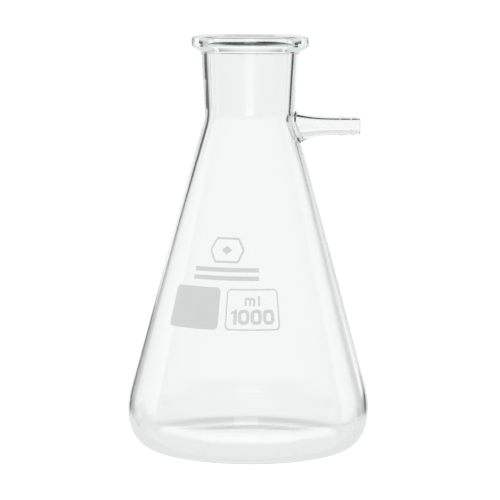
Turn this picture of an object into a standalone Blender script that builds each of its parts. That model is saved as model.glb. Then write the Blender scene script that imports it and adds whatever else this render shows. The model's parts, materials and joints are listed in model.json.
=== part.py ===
"""A 1000 ml filtering (Buchner) flask in clear borosilicate glass.

A blown conical body carries a thick tooled collar on its neck and a barbed hose connection
on its shoulder, and wears a small set of fired enamel marks. The origin is the centre of the
base, +Z runs up the neck, and the side arm points to +X.
"""

import math

import bmesh
import bpy
from mathutils import Vector

MM = 0.001

# The body: heights are measured from the resting plane, all in millimetres.
HEIGHT = 230.0
BODY_RADIUS = 67.5
WIDEST_HEIGHT = 20.0
CONTACT_RADIUS = 52.0
PUSH_UP_RADIUS = 44.0
PUSH_UP = 1.2
BELLY_ARC = 56.0
CONE_SLOPE = 0.27
THROAT_RADIUS = 25.2
THROAT_HEIGHT = 188.0
SHOULDER_ARC = 25.0
NECK_TOP_RADIUS = 27.25

# The collar: a thick ring with sloping shoulders, fused to the end of the neck.
COLLAR_RADIUS = 32.4
COLLAR_BORE = 23.3
COLLAR_HEIGHT = 10.7
COLLAR_BAND = (222.9, 228.3)
LIP_RADIUS = 27.0
MOUTH_RADIUS = 23.9

# The side arm, with its length measured from the flask's axis.
ARM_HEIGHT = 179.7
ARM_TIP = 61.1
ARM_RADIUS = 5.05
ARM_BORE = 3.5
ARM_ROOT_RADIUS = 8.5
ARM_ROOT_BORE = 4.9
FLARE_END = 36.0
FLARE_ARC = 13.0
BARB_RADIUS = 5.35
BARB_GROOVE = 4.7
BARB_FOOT = 50.3
BARB_STEP = 56.4
TIP_RADIUS = 4.6

# The enamel marks: flat shapes in millimetres at LABEL_RADIUS, wrapped round the cone.
LABEL_AZIMUTH = -105.5
LABEL_RADIUS = 52.0
LABEL_GAP = 3.7
PANEL_SIZE = (29.8, 22.0)
FRAME_SIZE = (28.5, 21.6)
PANEL_FOOT = 72.7
CORNER_RADIUS = 2.8
FRAME_LINE = 0.9
DIGIT_SIZE = (5.9, 7.8)
DIGIT_STROKE = 1.8
ONE_WIDTH = 3.2
DIGIT_GAP = 0.6
DIGIT_FOOT = 75.8
UNIT_STROKE = 1.1
M_SIZE = (5.6, 4.3)
L_HEIGHT = 5.2
UNIT_GAP = 1.6
UNIT_FOOT = 85.4
EMBLEM_SIZE = (23.0, 13.4)
EMBLEM_LINE = 1.3
EMBLEM_CENTRE = 114.4
CORE_SIZE = (7.0, 4.6)
RULE_LENGTH = 40.0
RULE_HEIGHTS = (98.6, 103.0)
RULE_THICKNESS = 2.2
MARK_THICKNESS = 0.4
WRAP_STEP = 3.0

# Neighbouring pieces stay this far apart.
GAP = 0.3

SEGMENTS = 60
ARM_SEGMENTS = 28

# Wall thickness up the body, as (height, thickness), joined by straight lines.
WALL = (
    (0.0, 3.2),
    (8.0, 2.8),
    (WIDEST_HEIGHT, 1.8),
    (45.0, 1.7),
    (80.0, 1.9),
    (110.0, 2.2),
    (160.0, 2.6),
    (THROAT_HEIGHT, 3.1),
    (205.0, 3.55),
    (HEIGHT - COLLAR_HEIGHT, 3.95),
)


# Outlines


def arc(centre, radii, start, end, steps):
    """Points on an ellipse from one angle to another, in degrees."""
    points = []
    for i in range(steps + 1):
        angle = math.radians(start + (end - start) * i / steps)
        points.append((centre[0] + radii[0] * math.cos(angle), centre[1] + radii[1] * math.sin(angle)))
    return points


def rounded(corners, radius, steps=4):
    """A closed outline with each corner turned into a quadratic curve of about the given radius."""
    points = []
    for i, corner in enumerate(corners):
        here = Vector(corner)
        before = Vector(corners[i - 1]) - here
        after = Vector(corners[(i + 1) % len(corners)]) - here
        reach = min(radius, before.length / 2, after.length / 2)
        start = here + before.normalized() * reach
        end = here + after.normalized() * reach
        for step in range(steps + 1):
            t = step / steps
            point = start * (1 - t) ** 2 + here * 2 * t * (1 - t) + end * t**2
            points.append((point.x, point.y))
    return points


def rectangle(width, height):
    """Corners of a rectangle centred on x = 0 and standing on y = 0."""
    return [(-width / 2, 0), (width / 2, 0), (width / 2, height), (-width / 2, height)]


def shifted(points, x, y):
    return [(px + x, py + y) for px, py in points]


# Solids


def material(name, colour, roughness, transmission=0.0):
    made = bpy.data.materials.new(name)
    made.use_nodes = True
    shader = made.node_tree.nodes["Principled BSDF"]
    shader.inputs["Base Color"].default_value = (*colour, 1)
    shader.inputs["Roughness"].default_value = roughness
    shader.inputs["Metallic"].default_value = 0.0
    shader.inputs["Transmission Weight"].default_value = transmission
    return made


def object_of(name, mesh_builder, finish):
    """An object whose mesh is the bmesh, scaled from millimetres to metres."""
    bmesh.ops.scale(mesh_builder, vec=(MM, MM, MM), verts=mesh_builder.verts)
    mesh = bpy.data.meshes.new(name)
    mesh_builder.to_mesh(mesh)
    mesh_builder.free()
    mesh.materials.append(finish)
    made = bpy.data.objects.new(name, mesh)
    bpy.context.scene.collection.objects.link(made)
    return made


def turned(name, outline, finish, segments=SEGMENTS):
    """A solid turned about Z from an outline of (radius, height) points.

    The outline runs down its outer side; it is closed unless both its ends are on the axis.
    """
    profile = bmesh.new()
    points = [profile.verts.new((radius, 0, height)) for radius, height in outline]
    for first, second in zip(points, points[1:]):
        profile.edges.new((first, second))
    if outline[0][0] > 0:
        profile.edges.new((points[-1], points[0]))
    made = object_of(name, profile, finish)
    screw = made.modifiers.new("turn", "SCREW")
    screw.steps = segments
    screw.render_steps = segments
    screw.use_merge_vertices = True
    screw.merge_threshold = 0.00001
    screw.use_smooth_shade = True
    return made


def cut(piece, cutter):
    """Takes the cutter's shape out of the piece."""
    cutter.hide_render = True
    cutter.display_type = "WIRE"
    modifier = piece.modifiers.new("cut", "BOOLEAN")
    modifier.operation = "DIFFERENCE"
    modifier.solver = "EXACT"
    modifier.object = cutter


# The glass


def cone_radius(height):
    """Outer radius of the straight part of the body."""
    lean = math.atan(CONE_SLOPE)
    foot_radius = BODY_RADIUS - BELLY_ARC * (1 - math.cos(lean))
    foot_height = WIDEST_HEIGHT + BELLY_ARC * math.sin(lean)
    return foot_radius - CONE_SLOPE * (height - foot_height)


def shoulder_arc():
    """The concave arc that joins the cone to the neck, bottom to top, and the neck's top point."""
    neck_end = HEIGHT - COLLAR_HEIGHT
    flare = (NECK_TOP_RADIUS - THROAT_RADIUS) / (neck_end - THROAT_HEIGHT)
    meet = (cone_radius(0) - THROAT_RADIUS + flare * THROAT_HEIGHT) / (CONE_SLOPE + flare)
    lean = math.atan(CONE_SLOPE)
    turn = lean + math.atan(flare)
    reach = SHOULDER_ARC * math.tan(turn / 2)
    start_radius = cone_radius(meet) + reach * math.sin(lean)
    start_height = meet - reach * math.cos(lean)
    centre = (start_radius + SHOULDER_ARC * math.cos(lean), start_height + SHOULDER_ARC * math.sin(lean))
    start = 180 + math.degrees(lean)
    return arc(centre, (SHOULDER_ARC, SHOULDER_ARC), start, start - math.degrees(turn), 5)


def outer_wall():
    """The body's outer outline from the centre of the base to the end of the neck."""
    points = []
    for i in range(5):
        radius = PUSH_UP_RADIUS * i / 5
        points.append((radius, PUSH_UP * math.cos(math.pi * radius / PUSH_UP_RADIUS / 2) ** 2))
    points.append((PUSH_UP_RADIUS, 0.0))
    heel = (BODY_RADIUS - CONTACT_RADIUS, WIDEST_HEIGHT)
    points += arc((CONTACT_RADIUS, WIDEST_HEIGHT), heel, -90, 0, 9)
    belly_centre = (BODY_RADIUS - BELLY_ARC, WIDEST_HEIGHT)
    lean = math.degrees(math.atan(CONE_SLOPE))
    points += arc(belly_centre, (BELLY_ARC, BELLY_ARC), 0, lean, 3)[1:]
    for height in (70.0, 110.0, 150.0):
        points.append((cone_radius(height), height))
    points += shoulder_arc()
    neck_foot = points[-1]
    neck_end = (NECK_TOP_RADIUS, HEIGHT - COLLAR_HEIGHT)
    # Half way up the neck, where its wall starts to thicken.
    points.append(((neck_foot[0] + neck_end[0]) / 2, (neck_foot[1] + neck_end[1]) / 2))
    points.append(neck_end)
    return points


def wall_at(height):
    """Wall thickness at a height, between the two nearest entries of WALL."""
    for (low, low_wall), (high, high_wall) in zip(WALL, WALL[1:]):
        if height <= high:
            return low_wall + (high_wall - low_wall) * (height - low) / (high - low)
    return WALL[-1][1]


def inner_wall(outer):
    """The outer outline moved inwards by the wall's thickness."""
    points = []
    for i, (radius, height) in enumerate(outer):
        before = Vector(outer[max(i - 1, 0)])
        after = Vector(outer[min(i + 1, len(outer) - 1)])
        along = (after - before).normalized()
        if i == 0:
            along = Vector((1, 0))
        if i == len(outer) - 1:
            along = Vector((0, 1))
        wall = wall_at(height)
        points.append((radius - along.y * wall, height + along.x * wall))
    return points


def flask_body(glass):
    """The blown vessel: push-up base, rounded heel, cone, shoulder and neck, with a hole for the arm."""
    outer = outer_wall()
    inner = inner_wall(outer)
    body = turned("flask_body", list(reversed(outer)) + inner, glass)
    # The outline starts and ends on the neck's end face, and crosses the axis at the base.
    cut(body, arm_hole(glass))
    return body


def arm_hole(glass):
    outline = [(0, 40), (ARM_ROOT_BORE, 40), (ARM_ROOT_BORE, 10), (0, 10)]
    hole = turned("arm_hole", outline, glass, ARM_SEGMENTS)
    hole.rotation_euler = (0, math.pi / 2, 0)
    hole.location = (0, 0, ARM_HEIGHT * MM)
    return hole


def neck_collar(glass):
    """The thick ring round the mouth: a sloping top, a straight band and a sloping underside."""
    foot = HEIGHT - COLLAR_HEIGHT + GAP
    corners = [
        (COLLAR_BORE, foot),
        (MOUTH_RADIUS, HEIGHT),
        (LIP_RADIUS, HEIGHT),
        (COLLAR_RADIUS, COLLAR_BAND[1]),
        (COLLAR_RADIUS, COLLAR_BAND[0]),
        (NECK_TOP_RADIUS + 0.6, foot + 1.2),
        (NECK_TOP_RADIUS + 0.3, foot),
    ]
    return turned("neck_collar", rounded(corners, 0.5, 2), glass)


def shoulder_envelope(glass):
    """A solid filling of the flask, GAP larger all round, that shapes the arm's saddle."""
    outer = outer_wall()
    envelope = [(radius + GAP / math.cos(math.atan(CONE_SLOPE)), height) for radius, height in outer[1:]]
    return turned("shoulder_envelope", [(0, envelope[-1][1])] + envelope[::-1] + [(0, envelope[0][1])], glass)


def side_arm(glass):
    """The hose connection: a flared root on the shoulder, a tube and two barbs at its tip."""
    start = THROAT_RADIUS - 6
    drop = ARM_ROOT_RADIUS - ARM_RADIUS
    flare_run = math.sqrt(FLARE_ARC**2 - (FLARE_ARC - drop) ** 2)
    flare = arc(
        (ARM_RADIUS + FLARE_ARC, FLARE_END),
        (FLARE_ARC, FLARE_ARC),
        180,
        180 + math.degrees(math.asin(flare_run / FLARE_ARC)),
        6,
    )
    outline = [
        (ARM_BORE, ARM_TIP),
        (TIP_RADIUS - 0.3, ARM_TIP),
        (TIP_RADIUS, ARM_TIP - 0.3),
        (BARB_RADIUS - 0.1, BARB_STEP + 0.3),
        (BARB_GROOVE, BARB_STEP - 0.2),
        (BARB_RADIUS, BARB_FOOT + 0.7),
        (ARM_RADIUS, BARB_FOOT),
    ]
    outline += flare
    outline += [(ARM_ROOT_RADIUS, start), (ARM_ROOT_BORE, start), (ARM_ROOT_BORE, FLARE_END - 8)]
    outline += [(ARM_BORE + 0.3, FLARE_END - 4), (ARM_BORE, FLARE_END)]
    arm = turned("side_arm", outline, glass, ARM_SEGMENTS)
    arm.rotation_euler = (0, math.pi / 2, 0)
    arm.location = (0, 0, ARM_HEIGHT * MM)
    cut(arm, shoulder_envelope(glass))
    return arm


# The enamel marks


def wrapped(flat):
    """Bends a flat mark, drawn in X and Z with its thickness in Y, round the cone."""
    lean = math.atan(CONE_SLOPE)
    for vertex in flat.verts:
        azimuth = math.radians(LABEL_AZIMUTH) + vertex.co.x / LABEL_RADIUS
        lift = GAP + vertex.co.y
        radius = cone_radius(vertex.co.z) + lift * math.cos(lean)
        height = vertex.co.z + lift * math.sin(lean)
        vertex.co = (radius * math.cos(azimuth), radius * math.sin(azimuth), height)


def mark(name, outline, finish, hole=None):
    """A raised mark from a closed outline, or from the band between an outline and its hole."""
    flat = bmesh.new()
    loop = [flat.verts.new((x, 0, z)) for x, z in outline]
    if hole is None:
        faces = [flat.faces.new(loop)]
    else:
        inside = [flat.verts.new((x, 0, z)) for x, z in hole]
        faces = []
        for i in range(len(loop)):
            faces.append(flat.faces.new((loop[i - 1], loop[i], inside[i], inside[i - 1])))
    flat.normal_update()
    bmesh.ops.triangulate(flat, faces=faces)
    raised = bmesh.ops.extrude_face_region(flat, geom=list(flat.faces))["geom"]
    for item in raised:
        if isinstance(item, bmesh.types.BMVert):
            item.co.y = MARK_THICKNESS
    left = min(x for x, _ in outline)
    right = max(x for x, _ in outline)
    cuts = math.floor((right - left) / WRAP_STEP)
    for i in range(cuts):
        across = left + (right - left) * (i + 1) / (cuts + 1)
        everything = list(flat.verts) + list(flat.edges) + list(flat.faces)
        bmesh.ops.bisect_plane(flat, geom=everything, plane_co=(across, 0, 0), plane_no=(1, 0, 0))
    wrapped(flat)
    bmesh.ops.triangulate(flat, faces=list(flat.faces))
    bmesh.ops.recalc_face_normals(flat, faces=list(flat.faces))
    return object_of(name, flat, finish)


def label_panel(enamel):
    """The solid patch to write on."""
    width, height = PANEL_SIZE
    centre = -(LABEL_GAP + width) / 2
    outline = rounded(rectangle(width, height), CORNER_RADIUS)
    mark("label_panel", shifted(outline, centre, PANEL_FOOT), enamel)


def frame_centre():
    return (LABEL_GAP + FRAME_SIZE[0]) / 2


def capacity_frame(enamel):
    """The outlined box round the capacity."""
    width, height = FRAME_SIZE
    outline = rounded(rectangle(width, height), CORNER_RADIUS)
    inside = rounded(rectangle(width - 2 * FRAME_LINE, height - 2 * FRAME_LINE), CORNER_RADIUS - FRAME_LINE)
    mark(
        "capacity_frame",
        shifted(outline, frame_centre(), PANEL_FOOT),
        enamel,
        shifted(inside, frame_centre(), PANEL_FOOT + FRAME_LINE),
    )


def digit_one(left):
    width, height = ONE_WIDTH, DIGIT_SIZE[1]
    stem = width - DIGIT_STROKE
    outline = [
        (stem, 0),
        (width, 0),
        (width, height),
        (stem + 0.5, height),
        (stem, height - 0.9),
        (0, height - 1.3),
        (0, height - 2.6),
        (stem, height - 2.3),
    ]
    return shifted(outline, left, DIGIT_FOOT)


def digits(enamel):
    """The figure one and the three noughts."""
    width, height = DIGIT_SIZE
    total = ONE_WIDTH + 3 * (DIGIT_GAP + width)
    left = frame_centre() - total / 2
    mark("digit_one", digit_one(left), enamel)
    outline = rounded(rectangle(width, height), width / 2)
    inside = rounded(
        rectangle(width - 2 * DIGIT_STROKE, height - 2 * DIGIT_STROKE), width / 2 - DIGIT_STROKE
    )
    for i, name in enumerate(("digit_nought_1", "digit_nought_2", "digit_nought_3")):
        centre = left + ONE_WIDTH + (i + 1) * DIGIT_GAP + (i + 0.5) * width
        mark(
            name,
            shifted(outline, centre, DIGIT_FOOT),
            enamel,
            shifted(inside, centre, DIGIT_FOOT + DIGIT_STROKE),
        )


def letter_m_outline():
    """An arch with a rounded shoulder and two round-topped slots."""
    width, height = M_SIZE
    slot = (width - 3 * UNIT_STROKE) / 2
    shoulder = 1.2
    outline = arc((width - shoulder, height - shoulder), (shoulder, shoulder), 0, 90, 4)
    outline += [(0, height), (0, 0)]
    for i in range(2):
        left = UNIT_STROKE + i * (slot + UNIT_STROKE)
        outline.append((left, 0))
        outline += arc((left + slot / 2, height - UNIT_STROKE - slot / 2), (slot / 2, slot / 2), 180, 0, 4)
        outline.append((left + slot, 0))
    outline.append((width, 0))
    return outline


def capacity_unit(enamel):
    """The letters m and l above the figures."""
    total = M_SIZE[0] + UNIT_GAP + UNIT_STROKE
    left = frame_centre() - total / 2
    mark("letter_m", shifted(letter_m_outline(), left, UNIT_FOOT), enamel)
    stem = rectangle(UNIT_STROKE, L_HEIGHT)
    mark("letter_l", shifted(stem, left + M_SIZE[0] + UNIT_GAP + UNIT_STROKE / 2, UNIT_FOOT), enamel)


def hexagon(width, height):
    """A long hexagon centred on the origin, with a point at each side."""
    shoulder = width / 2 - height / 2 * math.tan(math.radians(30))
    return [
        (-width / 2, 0),
        (-shoulder, -height / 2),
        (shoulder, -height / 2),
        (width / 2, 0),
        (shoulder, height / 2),
        (-shoulder, height / 2),
    ]


def emblem(enamel):
    """A plain hexagon with a lozenge in it, over two plain rules."""
    width, height = EMBLEM_SIZE
    inside = hexagon(width - 2.3 * EMBLEM_LINE, height - 2 * EMBLEM_LINE)
    mark(
        "emblem_ring",
        shifted(hexagon(width, height), 0, EMBLEM_CENTRE),
        enamel,
        shifted(inside, 0, EMBLEM_CENTRE),
    )
    across, tall = CORE_SIZE
    lozenge = [(-across / 2, 0), (0, -tall / 2), (across / 2, 0), (0, tall / 2)]
    mark("emblem_core", shifted(lozenge, 0, EMBLEM_CENTRE), enamel)
    for name, height in zip(("rule_lower", "rule_upper"), RULE_HEIGHTS):
        mark(name, shifted(rectangle(RULE_LENGTH, RULE_THICKNESS), 0, height), enamel)


def main():
    for old in list(bpy.data.objects):
        bpy.data.objects.remove(old)
    flask_body(material("body_glass", (0.93, 0.97, 0.95), 0.02, 0.9))
    neck_collar(material("collar_glass", (0.90, 0.95, 0.94), 0.02, 0.9))
    side_arm(material("arm_glass", (0.88, 0.94, 0.91), 0.02, 0.9))
    enamel = material("grey_enamel", (0.78, 0.80, 0.79), 0.45)
    label_panel(enamel)
    capacity_frame(enamel)
    digits(enamel)
    capacity_unit(enamel)
    emblem(enamel)


main()
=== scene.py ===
"""Looks of the filtering flask: one continuous blown glass surface, fired enamel marks, a plain studio.

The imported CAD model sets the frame. Lengths are in millimetres until a mesh is made.
"""

import json
import math

import bmesh
import bpy
import numpy as np
from mathutils import Matrix, Vector


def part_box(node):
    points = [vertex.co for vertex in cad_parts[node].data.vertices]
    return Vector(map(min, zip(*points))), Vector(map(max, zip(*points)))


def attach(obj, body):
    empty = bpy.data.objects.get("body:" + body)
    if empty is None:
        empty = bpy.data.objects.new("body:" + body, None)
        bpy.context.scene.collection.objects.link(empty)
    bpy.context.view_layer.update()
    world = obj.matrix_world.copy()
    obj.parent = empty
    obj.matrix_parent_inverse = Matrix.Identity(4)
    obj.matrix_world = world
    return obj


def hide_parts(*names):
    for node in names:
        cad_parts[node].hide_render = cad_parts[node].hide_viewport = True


MM = 0.001

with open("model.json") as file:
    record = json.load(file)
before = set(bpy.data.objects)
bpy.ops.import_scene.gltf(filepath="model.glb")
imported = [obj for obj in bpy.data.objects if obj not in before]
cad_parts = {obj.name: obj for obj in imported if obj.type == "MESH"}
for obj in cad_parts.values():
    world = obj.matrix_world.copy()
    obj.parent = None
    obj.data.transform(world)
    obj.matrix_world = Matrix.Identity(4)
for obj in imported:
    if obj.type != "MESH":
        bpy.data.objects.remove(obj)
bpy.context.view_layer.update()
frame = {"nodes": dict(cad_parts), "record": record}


def box_mm(node):
    low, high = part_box(node)
    return [value / MM for value in low], [value / MM for value in high]


BODY_LOW, BODY_HIGH = box_mm("flask_body")
COLLAR_LOW, COLLAR_HIGH = box_mm("neck_collar")
ARM_LOW, ARM_HIGH = box_mm("side_arm")

# The turned shape, taken from the frame where it holds the size.
HEIGHT = COLLAR_HIGH[2]
COLLAR_FOOT = BODY_HIGH[2]
BODY_RADIUS = BODY_HIGH[0]
COLLAR_RADIUS = COLLAR_HIGH[0]
WIDEST_HEIGHT = 20.0
CONTACT_RADIUS = 52.0
PUSH_UP_RADIUS = 44.0
PUSH_UP = 1.2
BELLY_ARC = 56.0
CONE_SLOPE = 0.27
LEAN = math.atan(CONE_SLOPE)
THROAT_RADIUS = 25.2
THROAT_HEIGHT = 188.0
SHOULDER_ARC = 25.0
NECK_TOP_RADIUS = 27.25
NECK_TOP_BORE = 23.15
LIP_RADIUS = 27.0
MOUTH_RADIUS = 23.9
BAND = (222.9, 228.3)

# The side arm, along +X.
ARM_AXIS = sum(box[2] for box in frame["record"]["physics"]["openings"][-1]["box_m"]) / 2 / MM
ARM_TIP = ARM_HIGH[0]
ARM_RADIUS = 5.05
ARM_BORE = 3.5
TUBE_START = 46.0

# The enamel marks are flat shapes in millimetres at this radius, wrapped round the cone.
LABEL_RADIUS = 52.0
MARK_LIFT = 0.03
MARK_THICKNESS = 0.05

# The height of the hand-made waves in the glass.
WAVE = 0.022

# How finely the glass is turned. The arm grows out of a patch of the wall: PATCH_HALF columns to
# each side of it, and PATCH_ROWS rows over PATCH_HEIGHT.
COLUMNS = 160
PATCH_HALF = 10
PATCH_HEIGHT = 21.0
PATCH_ROWS = 20
ARM_COLUMNS = 4 * PATCH_ROWS

# Wall thickness: out along the base against radius, then up the body against height.
BASE_RADII = (0.0, 33.0, 52.0)
BASE_WALLS = (3.0, 3.0, 3.2)
WALL_HEIGHTS = (0.0, 8.0, 20.0, 45.0, 80.0, 110.0, 160.0, 188.0, 205.0, 219.3)
WALLS = (3.2, 2.8, 1.8, 1.7, 1.9, 2.2, 2.7, 3.5, 3.9, 4.1)

# How far the inside lies off the axis, towards +X, against height.
SHIFT_HEIGHTS = (0.0, 20.0, 130.0, 155.0, 190.0)
SHIFTS = (0.0, -0.2, -0.3, -0.1, -0.05)


# Curves


def arc(centre, radii, start, end, steps):
    """Points on an ellipse from one angle to another, in degrees."""
    points = []
    for i in range(steps + 1):
        angle = math.radians(start + (end - start) * i / steps)
        points.append((centre[0] + radii[0] * math.cos(angle), centre[1] + radii[1] * math.sin(angle)))
    return points


def rounded(corners, radii, steps=6, closed=True):
    """An outline with its corners turned into quadratic curves; an open one keeps its two ends."""
    points = []
    for i, corner in enumerate(corners):
        radius = radii[i] if isinstance(radii, (list, tuple)) else radii
        if not closed and i in (0, len(corners) - 1):
            points.append(tuple(corner))
            continue
        here = Vector(corner)
        before = Vector(corners[i - 1]) - here
        after = Vector(corners[(i + 1) % len(corners)]) - here
        reach = min(radius, before.length * 0.49, after.length * 0.49)
        start = here + before.normalized() * reach
        end = here + after.normalized() * reach
        for step in range(steps + 1):
            t = step / steps
            point = start * (1 - t) ** 2 + here * 2 * t * (1 - t) + end * t**2
            points.append((point.x, point.y))
    return points


def stepped(start, end, spacing):
    """Points on a straight line, spaced evenly, without the first."""
    start, end = Vector(start), Vector(end)
    count = max(1, round((end - start).length / spacing))
    return [tuple(start.lerp(end, (i + 1) / count)) for i in range(count)]


# The turned outline of the vessel


def cone_radius(height):
    foot_radius = BODY_RADIUS - BELLY_ARC * (1 - math.cos(LEAN))
    foot_height = WIDEST_HEIGHT + BELLY_ARC * math.sin(LEAN)
    return foot_radius - CONE_SLOPE * (height - foot_height)


def shoulder():
    """The concave arc between the cone and the neck, bottom to top."""
    flare = (NECK_TOP_RADIUS - THROAT_RADIUS) / (COLLAR_FOOT - THROAT_HEIGHT)
    meet = (cone_radius(0) - THROAT_RADIUS + flare * THROAT_HEIGHT) / (CONE_SLOPE + flare)
    turn = LEAN + math.atan(flare)
    reach = SHOULDER_ARC * math.tan(turn / 2)
    start = (cone_radius(meet) + reach * math.sin(LEAN), meet - reach * math.cos(LEAN))
    centre = (start[0] + SHOULDER_ARC * math.cos(LEAN), start[1] + SHOULDER_ARC * math.sin(LEAN))
    first = 180 + math.degrees(LEAN)
    return arc(centre, (SHOULDER_ARC, SHOULDER_ARC), first, first - math.degrees(turn), 24)


def base_line():
    """The outer outline from the middle of the push-up to the foot of the cone."""
    points = []
    for i in range(22):
        radius = PUSH_UP_RADIUS * i / 22
        points.append((radius, PUSH_UP * math.cos(math.pi * radius / PUSH_UP_RADIUS / 2) ** 2))
    points.append((PUSH_UP_RADIUS, 0.0))
    points += stepped(points[-1], (CONTACT_RADIUS, 0.0), 1.6)
    heel = (BODY_RADIUS - CONTACT_RADIUS, WIDEST_HEIGHT)
    points += arc((CONTACT_RADIUS, WIDEST_HEIGHT), heel, -90, 0, 26)[1:]
    belly_centre = (BODY_RADIUS - BELLY_ARC, WIDEST_HEIGHT)
    points += arc(belly_centre, (BELLY_ARC, BELLY_ARC), 0, math.degrees(LEAN), 10)[1:]
    return points


def neck_line():
    """Radius against height up the outside of the cone, the shoulder and the neck."""
    return [base_line()[-1]] + shoulder() + [(NECK_TOP_RADIUS, COLLAR_FOOT)]


def upper_rows():
    """Heights of the rows above the belly: even over the arm's patch, close together up the neck."""
    foot = base_line()[-1][1]
    patch_low = ARM_AXIS - PATCH_HEIGHT / 2
    patch_high = ARM_AXIS + PATCH_HEIGHT / 2
    cone = np.linspace(foot, patch_low, 56)[1:]
    patch = np.linspace(patch_low, patch_high, PATCH_ROWS + 1)[1:]
    neck = np.linspace(patch_high, COLLAR_FOOT, 80)[1:]
    return list(cone) + list(patch) + list(neck)


def outer_line():
    line = np.array(neck_line())
    heights = upper_rows()
    radii = np.interp(heights, line[:, 1], line[:, 0])
    return base_line() + list(zip(radii.tolist(), [float(height) for height in heights]))


def inner_line(outer):
    """The outer outline moved in by the wall, for each of its points."""
    points = np.array(outer)
    along = np.gradient(points, axis=0)
    along /= np.linalg.norm(along, axis=1)[:, None]
    along[0] = (1, 0)
    along[-1] = (0, 1)
    on_base = (points[:, 0] < CONTACT_RADIUS) & (points[:, 1] < PUSH_UP + 1)
    base_wall = np.interp(points[:, 0], BASE_RADII, BASE_WALLS)
    wall = np.where(on_base, base_wall, np.interp(points[:, 1], WALL_HEIGHTS, WALLS))
    inner = points + np.stack([-along[:, 1], along[:, 0]], axis=1) * wall[:, None]
    return [tuple(point) for point in inner.tolist()]


def collar_line():
    """The collar's section, from the top of the neck's outside over the lip to the bore."""
    corners = [
        (NECK_TOP_RADIUS, COLLAR_FOOT),
        (NECK_TOP_RADIUS + 0.1, COLLAR_FOOT + 0.5),
        (NECK_TOP_RADIUS + 0.9, COLLAR_FOOT + 1.1),
        (COLLAR_RADIUS, BAND[0]),
        (COLLAR_RADIUS, BAND[1]),
        (LIP_RADIUS, HEIGHT),
        (MOUTH_RADIUS, HEIGHT),
        (NECK_TOP_BORE + 0.1, COLLAR_FOOT + 1.6),
        (NECK_TOP_BORE, COLLAR_FOOT),
    ]
    return rounded(corners, [0, 0.5, 0.5, 0.9, 1.0, 1.2, 0.8, 3.0, 0], closed=False)[1:-1]


# The waviness of hand-worked glass


def ripple(azimuth, height, inside):
    """How far the glass stands out from its ideal surface."""
    phase = 1.7 if inside else 0.0
    slow = math.sin(3 * azimuth + phase + height / 31)
    slow += 0.6 * math.sin(5 * azimuth - height / 17 + 2 * phase)
    cone = min(1.0, max(0.0, (height - WIDEST_HEIGHT) / 20))
    shift = float(np.interp(height, SHIFT_HEIGHTS, SHIFTS)) if inside else 0.0
    return WAVE * cone * slow + shift * math.cos(azimuth)


def on_wall(azimuth, height, line, inside):
    """The point of the outer or inner wall at an azimuth and a height."""
    radius = float(np.interp(height, line[:, 1], line[:, 0])) + ripple(azimuth, height, inside)
    return (radius * math.cos(azimuth), radius * math.sin(azimuth), height)


# The glass mesh


class GlassMesh:
    """Points and faces of one closed surface, collected loop by loop."""

    def __init__(self):
        self.points = []
        self.faces = []

    def add(self, point):
        self.points.append(tuple(value * MM for value in point))
        return len(self.points) - 1

    def loop(self, points):
        return [self.add(point) for point in points]

    def bridge(self, first, second):
        """Quads between two closed loops of the same length."""
        for i in range(len(first)):
            self.faces.append((first[i - 1], first[i], second[i], second[i - 1]))

    def fan(self, centre, loop):
        for i in range(len(loop)):
            self.faces.append((centre, loop[i - 1], loop[i]))


def wall_grid(glass, outline, inside, patch_first):
    """One wall as rows of points round the axis, leaving out the middle of the arm's patch."""
    rows = []
    for row, (radius, height) in enumerate(outline):
        if radius < 1e-6:
            rows.append([glass.add((0, 0, height))])
            continue
        ring = []
        in_patch = patch_first is not None and patch_first < row < patch_first + PATCH_ROWS
        for column in range(COLUMNS):
            azimuth = 2 * math.pi * column / COLUMNS
            off = min(column, COLUMNS - column)
            if in_patch and off < PATCH_HALF:
                ring.append(None)
                continue
            out = radius + ripple(azimuth, height, inside)
            ring.append(glass.add((out * math.cos(azimuth), out * math.sin(azimuth), height)))
        rows.append(ring)
    return rows


def wall_faces(glass, rows):
    for low, high in zip(rows, rows[1:]):
        if len(low) == 1 or len(high) == 1:
            centre, ring = (low[0], high) if len(low) == 1 else (high[0], low)
            glass.fan(centre, ring)
            continue
        for column in range(COLUMNS):
            corners = (low[column - 1], low[column], high[column], high[column - 1])
            if None not in corners:
                glass.faces.append(corners)


def patch_border(rows, patch_first):
    """The (row, column) points round the patch's edge, from the middle of its +Y side, by rising angle."""
    bottom, top = patch_first, patch_first + PATCH_ROWS
    middle = PATCH_ROWS // 2
    border = []
    for row in range(bottom + middle, top):
        border.append((row, PATCH_HALF))
    for column in range(PATCH_HALF, -PATCH_HALF, -1):
        border.append((top, column))
    for row in range(top, bottom, -1):
        border.append((row, -PATCH_HALF))
    for column in range(-PATCH_HALF, PATCH_HALF):
        border.append((bottom, column))
    for row in range(bottom, bottom + middle):
        border.append((row, PATCH_HALF))
    return border


def root_radius(angle, inside):
    """How far from the arm's axis its root meets the wall: further below the arm than above it."""
    below = 0.5 - 0.5 * math.sin(angle)
    if inside:
        return 6.9 + 1.2 * below
    return 8.8 + 0.8 * below + 0.15 * math.sin(3 * angle + 0.7)


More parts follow.
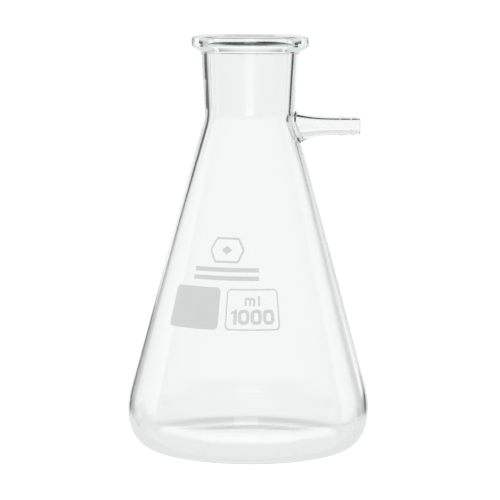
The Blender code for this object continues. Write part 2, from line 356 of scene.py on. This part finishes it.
def wall_patch(glass, rows, outline, patch_first, inside):
    """Rings of quads from the patch's square border to the round root of the arm."""
    line = np.array(outline)
    line = line[np.argsort(line[:, 1])]
    border = patch_border(rows, patch_first)
    loop = [rows[row][column] for row, column in border]
    steps = 7
    for step in range(1, steps + 1):
        t = step / steps
        ring = []
        for i, (row, column) in enumerate(border):
            angle = 2 * math.pi * i / len(border)
            start_azimuth = 2 * math.pi * column / COLUMNS
            start_height = outline[row][1]
            reach = root_radius(angle, inside)
            end_height = ARM_AXIS + reach * math.sin(angle)
            end_radius = float(np.interp(end_height, line[:, 1], line[:, 0]))
            end_azimuth = math.asin(reach * math.cos(angle) / end_radius)
            azimuth = start_azimuth + (end_azimuth - start_azimuth) * t
            height = start_height + (end_height - start_height) * t
            ring.append(on_wall(azimuth, height, line, inside))
        ring_loop = glass.loop(ring)
        glass.bridge(loop, ring_loop)
        loop = ring_loop
    return loop, ring, line


def root_loft(glass, loop, ring, line, inside, end_radius):
    """Rings from the root on the wall to a circle of the arm, smooth at both ends."""
    count = len(loop)
    steps = 18
    lofts = []
    for i in range(count):
        angle = 2 * math.pi * i / count
        start = Vector(ring[i])
        nearer = root_radius(angle, inside) - 0.2
        height = ARM_AXIS + nearer * math.sin(angle)
        radius = float(np.interp(height, line[:, 1], line[:, 0]))
        beside = nearer * math.cos(angle)
        towards = Vector((math.sqrt(radius**2 - beside**2), beside, height)) - start
        towards.normalize()
        end = Vector((TUBE_START, end_radius * math.cos(angle), ARM_AXIS + end_radius * math.sin(angle)))
        trail = 13.7 + 1.3 * math.sin(angle)
        lofts.append((start, start + towards * 1.2, end - Vector((trail, 0, 0)), end))
    for step in range(1, steps + 1):
        t = step / steps
        points = []
        for a, b, c, d in lofts:
            points.append(a * (1 - t) ** 3 + b * 3 * t * (1 - t) ** 2 + c * 3 * t**2 * (1 - t) + d * t**3)
        next_loop = glass.loop(points)
        glass.bridge(loop, next_loop)
        loop = next_loop
    return loop


def arm_outline():
    """The arm from its tube over the barbs and the tip into the bore, as (x, radius)."""
    corners = [
        (TUBE_START, ARM_RADIUS + 0.05),
        (49.8, ARM_RADIUS - 0.05),
        (50.7, 5.35),
        (56.0, 4.75),
        (56.7, 5.3),
        (ARM_TIP - 0.4, 4.7),
        (ARM_TIP, 4.4),
        (ARM_TIP, 3.8),
        (ARM_TIP - 0.5, ARM_BORE),
        (TUBE_START, ARM_BORE),
    ]
    points = rounded(corners, [0, 0.4, 0.5, 0.4, 0.5, 0.4, 0.4, 0.3, 0.4, 0], steps=4, closed=False)
    outline = []
    for first, second in zip(points, points[1:]):
        outline += stepped(first, second, 1.6)
    return outline


def flask_glass(finish):
    """The whole vessel: outer wall, collar, bore and inner wall, with the arm grown out of it."""
    glass = GlassMesh()
    outer = outer_line()
    inner = inner_line(outer)
    patch_low = ARM_AXIS - PATCH_HEIGHT / 2
    patch_first = min(range(len(outer)), key=lambda row: abs(outer[row][1] - patch_low))
    outer_rows = wall_grid(glass, outer, False, patch_first)
    inner_rows = wall_grid(glass, inner, True, patch_first)
    collar = collar_line()
    rim_middle = (LIP_RADIUS + MOUTH_RADIUS) / 2
    outside = wall_grid(glass, [point for point in collar if point[0] > rim_middle], False, None)
    bore = wall_grid(glass, [point for point in collar if point[0] < rim_middle], True, None)
    wall_faces(glass, outer_rows)
    wall_faces(glass, [outer_rows[-1]] + outside + bore + [inner_rows[-1]])
    wall_faces(glass, inner_rows)

    loop, ring, line = wall_patch(glass, outer_rows, outer, patch_first, False)
    outline = arm_outline()
    loop = root_loft(glass, loop, ring, line, False, ARM_RADIUS + 0.05)
    inner_loop, inner_ring, inner_wall = wall_patch(glass, inner_rows, inner, patch_first, True)
    inner_loop = root_loft(glass, inner_loop, inner_ring, inner_wall, True, ARM_BORE)
    for x, radius in outline[:-1]:
        points = []
        for i in range(ARM_COLUMNS):
            angle = 2 * math.pi * i / ARM_COLUMNS
            points.append((x, radius * math.cos(angle), ARM_AXIS + radius * math.sin(angle)))
        next_loop = glass.loop(points)
        glass.bridge(loop, next_loop)
        loop = next_loop
    glass.bridge(loop, inner_loop)
    return object_from("flask_glass", glass.points, glass.faces, finish)


def object_from(name, points, faces, finish):
    mesh = bpy.data.meshes.new(name)
    mesh.from_pydata(points, [], faces)
    builder = bmesh.new()
    builder.from_mesh(mesh)
    bmesh.ops.recalc_face_normals(builder, faces=list(builder.faces))
    builder.to_mesh(mesh)
    builder.free()
    mesh.shade_smooth()
    mesh.materials.append(finish)
    made = bpy.data.objects.new(name, mesh)
    bpy.context.scene.collection.objects.link(made)
    return made


# The enamel marks


def extent(node):
    """Where a mark of the CAD model lies: its left, foot, width and height, unrolled at LABEL_RADIUS."""
    piece = frame["nodes"][node]
    places = [piece.matrix_world @ vertex.co / MM for vertex in piece.data.vertices]
    across = [math.atan2(place.y, place.x) * LABEL_RADIUS for place in places]
    heights = [place.z for place in places]
    return min(across), min(heights), max(across) - min(across), max(heights) - min(heights)


def rectangle(width, height, inset=0.0):
    low, right, top = inset, width - inset, height - inset
    return [(low, low), (right, low), (right, top), (low, top)]


def shifted(points, x, y):
    return [(px + x, py + y) for px, py in points]


def enamel_mark(node, shape, finish):
    """A thin film in the outline that shape gives for its width and height, less its hole if any."""
    left, foot, width, height = extent(node)
    outline, hole = shape(width, height)
    flat = bmesh.new()
    loop = [flat.verts.new((x, 0, z)) for x, z in shifted(outline, left, foot)]
    if hole is None:
        flat.faces.new(loop)
    else:
        inner = [flat.verts.new((x, 0, z)) for x, z in shifted(hole, left, foot)]
        for i in range(len(loop)):
            flat.faces.new((loop[i - 1], loop[i], inner[i], inner[i - 1]))
    flat.normal_update()
    bmesh.ops.triangulate(flat, faces=list(flat.faces))
    raised = bmesh.ops.extrude_face_region(flat, geom=list(flat.faces))["geom"]
    for item in raised:
        if isinstance(item, bmesh.types.BMVert):
            item.co.y = MARK_THICKNESS
    cuts = math.ceil(width / 1.2)
    for i in range(1, cuts):
        everything = list(flat.verts) + list(flat.edges) + list(flat.faces)
        plane = (left + width * i / cuts, 0, 0)
        bmesh.ops.bisect_plane(flat, geom=everything, plane_co=plane, plane_no=(1, 0, 0))
    for vertex in flat.verts:
        azimuth = vertex.co.x / LABEL_RADIUS
        lift = MARK_LIFT + vertex.co.y + ripple(azimuth, vertex.co.z, False)
        radius = cone_radius(vertex.co.z) + lift * math.cos(LEAN)
        height = vertex.co.z + lift * math.sin(LEAN)
        vertex.co = (radius * math.cos(azimuth) * MM, radius * math.sin(azimuth) * MM, height * MM)
    bmesh.ops.recalc_face_normals(flat, faces=list(flat.faces))
    mesh = bpy.data.meshes.new(node + "_film")
    flat.to_mesh(mesh)
    flat.free()
    mesh.materials.append(finish)
    mesh.shade_smooth()
    mesh.set_sharp_from_angle(angle=math.radians(40))
    film = bpy.data.objects.new(node + "_film", mesh)
    bpy.context.scene.collection.objects.link(film)
    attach(film, "root")
    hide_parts(node)


def panel_shape(width, height):
    return rounded(rectangle(width, height), 2.8), None


def frame_shape(width, height):
    line = 0.8
    return rounded(rectangle(width, height), 2.8), rounded(rectangle(width, height, line), 2.8 - line)


def one_shape(width, height):
    stem = width - 1.8
    foot = [(stem, 0), (width, 0), (width, height), (stem + 0.6, height)]
    flag = [(stem, height - 0.9), (0, height - 1.3), (0, height - 2.7), (stem, height - 2.2)]
    return foot + flag, None


def nought_shape(width, height):
    line = 1.75
    outline = rounded(rectangle(width, height), width / 2, 8)
    return outline, rounded(rectangle(width, height, line), width / 2 - line, 8)


def m_shape(width, height):
    """An arch with a rounded shoulder and two round-topped slots."""
    line = 1.05
    slot = (width - 3 * line) / 2
    outline = arc((width - 1.3, height - 1.3), (1.3, 1.3), 0, 90, 6) + [(0, height), (0, 0)]
    for i in range(2):
        left = line + i * (slot + line)
        outline.append((left, 0))
        outline += arc((left + slot / 2, height - line - slot / 2), (slot / 2, slot / 2), 180, 0, 6)
        outline.append((left + slot, 0))
    return outline + [(width, 0)], None


def bar_shape(width, height):
    return rounded(rectangle(width, height), 0.25, 3), None


def hexagon(width, height, line):
    tip = height / 2 * math.tan(math.radians(30))
    across = width - 1.15 * line
    left, right = tip + 0.58 * line, width - tip - 0.58 * line
    foot = [(1.15 * line, height / 2), (left, line), (right, line)]
    return foot + [(across, height / 2), (right, height - line), (left, height - line)]


def ring_shape(width, height):
    return rounded(hexagon(width, height, 0.0), 1.0, 4), rounded(hexagon(width, height, 1.15), 0.6, 4)


def lozenge_shape(width, height):
    return [(0, height / 2), (width / 2, 0), (width, height / 2), (width / 2, height)], None


MARKS = {
    "label_panel": panel_shape,
    "capacity_frame": frame_shape,
    "digit_one": one_shape,
    "digit_nought_1": nought_shape,
    "digit_nought_2": nought_shape,
    "digit_nought_3": nought_shape,
    "letter_m": m_shape,
    "letter_l": bar_shape,
    "emblem_ring": ring_shape,
    "emblem_core": lozenge_shape,
    "rule_lower": bar_shape,
    "rule_upper": bar_shape,
}


# Materials

MOST_TURNS = 3


def new_material(name):
    made = bpy.data.materials.new(name)
    made.use_nodes = True
    tree = made.node_tree
    return made, tree, tree.nodes["Principled BSDF"]


def noise(tree, scale, detail=2.0):
    place = tree.nodes.new("ShaderNodeTexCoord")
    made = tree.nodes.new("ShaderNodeTexNoise")
    made.inputs["Scale"].default_value = scale
    made.inputs["Detail"].default_value = detail
    tree.links.new(place.outputs["Object"], made.inputs["Vector"])
    return made


def mapped(tree, source, low, high):
    made = tree.nodes.new("ShaderNodeMapRange")
    made.inputs["From Min"].default_value = 0.3
    made.inputs["From Max"].default_value = 0.7
    made.inputs["To Min"].default_value = low
    made.inputs["To Max"].default_value = high
    tree.links.new(source, made.inputs["Value"])
    return made.outputs["Result"]


def math_node(tree, operation, *values):
    node = tree.nodes.new("ShaderNodeMath")
    node.operation = operation
    for socket, value in zip(node.inputs, values):
        if isinstance(value, (int, float)):
            socket.default_value = value
        else:
            tree.links.new(value, socket)
    return node.outputs[0]


def let_out(tree, shader):
    """Lets light that has been turned back MOST_TURNS times inside the glass leave it straight."""
    path = tree.nodes.new("ShaderNodeLightPath")
    straight = tree.nodes.new("ShaderNodeBsdfTransparent")
    either = tree.nodes.new("ShaderNodeMixShader")
    turned_often = math_node(tree, "GREATER_THAN", path.outputs["Glossy Depth"], MOST_TURNS - 0.5)
    tree.links.new(turned_often, either.inputs[0])
    tree.links.new(shader.outputs[0], either.inputs[1])
    tree.links.new(straight.outputs[0], either.inputs[2])
    tree.links.new(either.outputs[0], tree.nodes["Material Output"].inputs["Surface"])


def clear_glass():
    """Borosilicate glass: a faint green tint in its depth, and a hardly visible unevenness."""
    made, tree, shader = new_material("borosilicate_glass")
    shader.inputs["Base Color"].default_value = (1, 1, 1, 1)
    shader.inputs["Transmission Weight"].default_value = 1.0
    shader.inputs["IOR"].default_value = 1.473
    tree.links.new(mapped(tree, noise(tree, 18).outputs["Fac"], 0.0, 0.012), shader.inputs["Roughness"])
    depth = tree.nodes.new("ShaderNodeVolumeAbsorption")
    depth.inputs["Color"].default_value = (0.72, 0.93, 0.86, 1)
    depth.inputs["Density"].default_value = 10.0
    tree.links.new(depth.outputs["Volume"], tree.nodes["Material Output"].inputs["Volume"])
    let_out(tree, shader)
    return made


def grey_enamel():
    """Fired enamel print: light grey, satin, a little uneven in density."""
    made, tree, shader = new_material("grey_enamel")
    cloud = noise(tree, 60, 4.0)
    tint = tree.nodes.new("ShaderNodeMix")
    tint.data_type = "RGBA"
    tint.inputs["A"].default_value = (0.600, 0.618, 0.608, 1)
    tint.inputs["B"].default_value = (0.660, 0.672, 0.664, 1)
    tree.links.new(cloud.outputs["Fac"], tint.inputs["Factor"])
    tree.links.new(tint.outputs["Result"], shader.inputs["Base Color"])
    tree.links.new(mapped(tree, cloud.outputs["Fac"], 0.4, 0.5), shader.inputs["Roughness"])
    return made


# The studio, in metres and watts

FLOOR_GAP = 0.0003
CEILING_SIZE = 12.0
CEILING_HEIGHT = 3.0
CEILING_POWER = 700.0
CAMERA_PLACE = (-0.00015, -1.15, 0.2305)
CAMERA_LENS = 149.5
CAMERA_DIP = 5.967
CAMERA_ROLL = -0.34


def studio_floor():
    """A wide pale floor just under the flask, which the glass itself doesn't show."""
    made, tree, shader = new_material("pale_floor")
    shader.inputs["Base Color"].default_value = (0.9, 0.9, 0.9, 1)
    tree.links.new(mapped(tree, noise(tree, 4).outputs["Fac"], 0.85, 0.95), shader.inputs["Roughness"])
    half = 3.0
    corners = [(-half, -half, 0), (half, -half, 0), (half, half, 0), (-half, half, 0)]
    floor = object_from("floor", corners, [(0, 1, 2, 3)], made)
    floor.location.z = -FLOOR_GAP
    floor.visible_transmission = False
    floor.visible_glossy = False


def studio_light():
    """A very large soft ceiling, which the glass itself doesn't mirror."""
    data = bpy.data.lights.new("ceiling", "AREA")
    data.size = CEILING_SIZE
    data.energy = CEILING_POWER
    light = bpy.data.objects.new("ceiling", data)
    light.location = (0, 0, CEILING_HEIGHT)
    light.visible_glossy = False
    light.visible_transmission = False
    bpy.context.scene.collection.objects.link(light)


def window(tree, value, half, soft):
    """1 where the value is within half of zero, falling to 0 over soft."""
    node = tree.nodes.new("ShaderNodeMapRange")
    node.interpolation_type = "SMOOTHSTEP"
    node.inputs["From Min"].default_value = half
    node.inputs["From Max"].default_value = half + soft
    node.inputs["To Min"].default_value = 1.0
    node.inputs["To Max"].default_value = 0.0
    tree.links.new(math_node(tree, "ABSOLUTE", value), node.inputs["Value"])
    return node.outputs["Result"]


# The panels that the glass sees. Each has an azimuth, a half width and a soft edge, then an
# elevation, a half height and a soft edge, all in degrees, and a strength.
PANELS = (
    (90, 21, 2, 8, 22, 8, 1.02),  # behind the flask
    (114.5, 4.5, 1, 28.5, 28.5, 1, 1.04),  # wing on its left
    (60.5, 8.5, 2, 26, 29, 1.5, 0.90),  # wing on its right
    (152.5, 19.5, 2, 0, 30, 8, 0.62),  # left wall
    (24, 12, 2, 0, 30, 8, 0.62),  # right wall
    (90, 100, 40, -50, 38, 4, 0.80),  # floor behind the flask
    (270, 180, 1, -58, 32, 10, 0.70),  # floor all round
    (271.5, 16, 3, -8, 3, 2, 0.28),  # low card in front
    (268.5, 11, 1, 2, 4, 1, 1.2),  # bright card in front
)

# The room between the panels, and the plain backdrop that the camera sees.
ROOM = 0.03
BACKDROP = 1.1

# The white walls, in the same terms, that show where nothing in the glass has mirrored the light.
WALLS_BEYOND = (
    (270, 97, 6, 0, 90, 1, 1.0),  # the front half
    (270, 155, 4, 40, 48, 4, 1.02),  # all but the panel behind the flask, above the floor
)


def brightest(tree, bearing, elevation, panels, least):
    """The strength of the brightest of some panels in a direction, or the least strength."""
    total = least
    for azimuth, half_width, soft_width, height, half_height, soft_height, strength in panels:
        off = math_node(tree, "SUBTRACT", bearing, azimuth)
        off = math_node(tree, "WRAP", off, 180.0, -180.0)
        wide = window(tree, off, half_width, soft_width)
        tall = window(tree, math_node(tree, "SUBTRACT", elevation, height), half_height, soft_height)
        glow = math_node(tree, "MULTIPLY", math_node(tree, "MULTIPLY", wide, tall), strength)
        total = math_node(tree, "MAXIMUM", total, glow)
    return total


def studio_world():
    """Panels for what the glass mirrors, white walls for what it shows, and a plain backdrop."""
    world = bpy.data.worlds.new("studio")
    bpy.context.scene.world = world
    world.use_nodes = True
    tree = world.node_tree
    tree.nodes.clear()
    place = tree.nodes.new("ShaderNodeTexCoord")
    parts = tree.nodes.new("ShaderNodeSeparateXYZ")
    tree.links.new(place.outputs["Generated"], parts.inputs[0])
    x, y, z = parts.outputs
    degrees = 180 / math.pi
    elevation = math_node(tree, "MULTIPLY", math_node(tree, "ARCSINE", z), degrees)
    bearing = math_node(tree, "MULTIPLY", math_node(tree, "ARCTAN2", y, x), degrees)
    mirrored = brightest(tree, bearing, elevation, PANELS, ROOM)
    beyond = brightest(tree, bearing, elevation, WALLS_BEYOND, 0.0)
    rays = tree.nodes.new("ShaderNodeLightPath")
    refracted = math_node(tree, "MINIMUM", rays.outputs["Transmission Depth"], 1.0)
    unmirrored = math_node(tree, "LESS_THAN", rays.outputs["Glossy Depth"], 0.5)
    through = math_node(tree, "MULTIPLY", math_node(tree, "MULTIPLY", refracted, unmirrored), beyond)
    total = math_node(tree, "MAXIMUM", mirrored, through)
    seen = rays.outputs["Is Camera Ray"]
    shown = math_node(tree, "MULTIPLY_ADD", seen, math_node(tree, "SUBTRACT", BACKDROP, total), total)
    background = tree.nodes.new("ShaderNodeBackground")
    background.inputs["Color"].default_value = (1, 1, 1, 1)
    tree.links.new(shown, background.inputs["Strength"])
    output = tree.nodes.new("ShaderNodeOutputWorld")
    tree.links.new(background.outputs[0], output.inputs["Surface"])


def studio_camera():
    """A long lens at the height of the rim, looking slightly down at the middle of the flask."""
    data = bpy.data.cameras.new("camera")
    data.lens = CAMERA_LENS
    data.sensor_width = 36.0
    camera = bpy.data.objects.new("camera", data)
    bpy.context.scene.collection.objects.link(camera)
    camera.location = CAMERA_PLACE
    roll = Matrix.Rotation(math.radians(CAMERA_ROLL), 3, "Y")
    dip = Matrix.Rotation(math.radians(90 - CAMERA_DIP), 3, "X")
    camera.rotation_euler = (roll @ dip).to_euler()
    bpy.context.scene.camera = camera


def main():
    glass = clear_glass()
    flask = flask_glass(glass)
    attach(flask, "root")
    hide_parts("flask_body", "neck_collar", "side_arm")
    flask.visible_shadow = False
    flask.visible_diffuse = False
    enamel = grey_enamel()
    for node, shape in MARKS.items():
        enamel_mark(node, shape, enamel)
    studio_floor()
    studio_light()
    studio_world()
    studio_camera()
    bpy.context.scene.view_settings.view_transform = "Standard"


main()
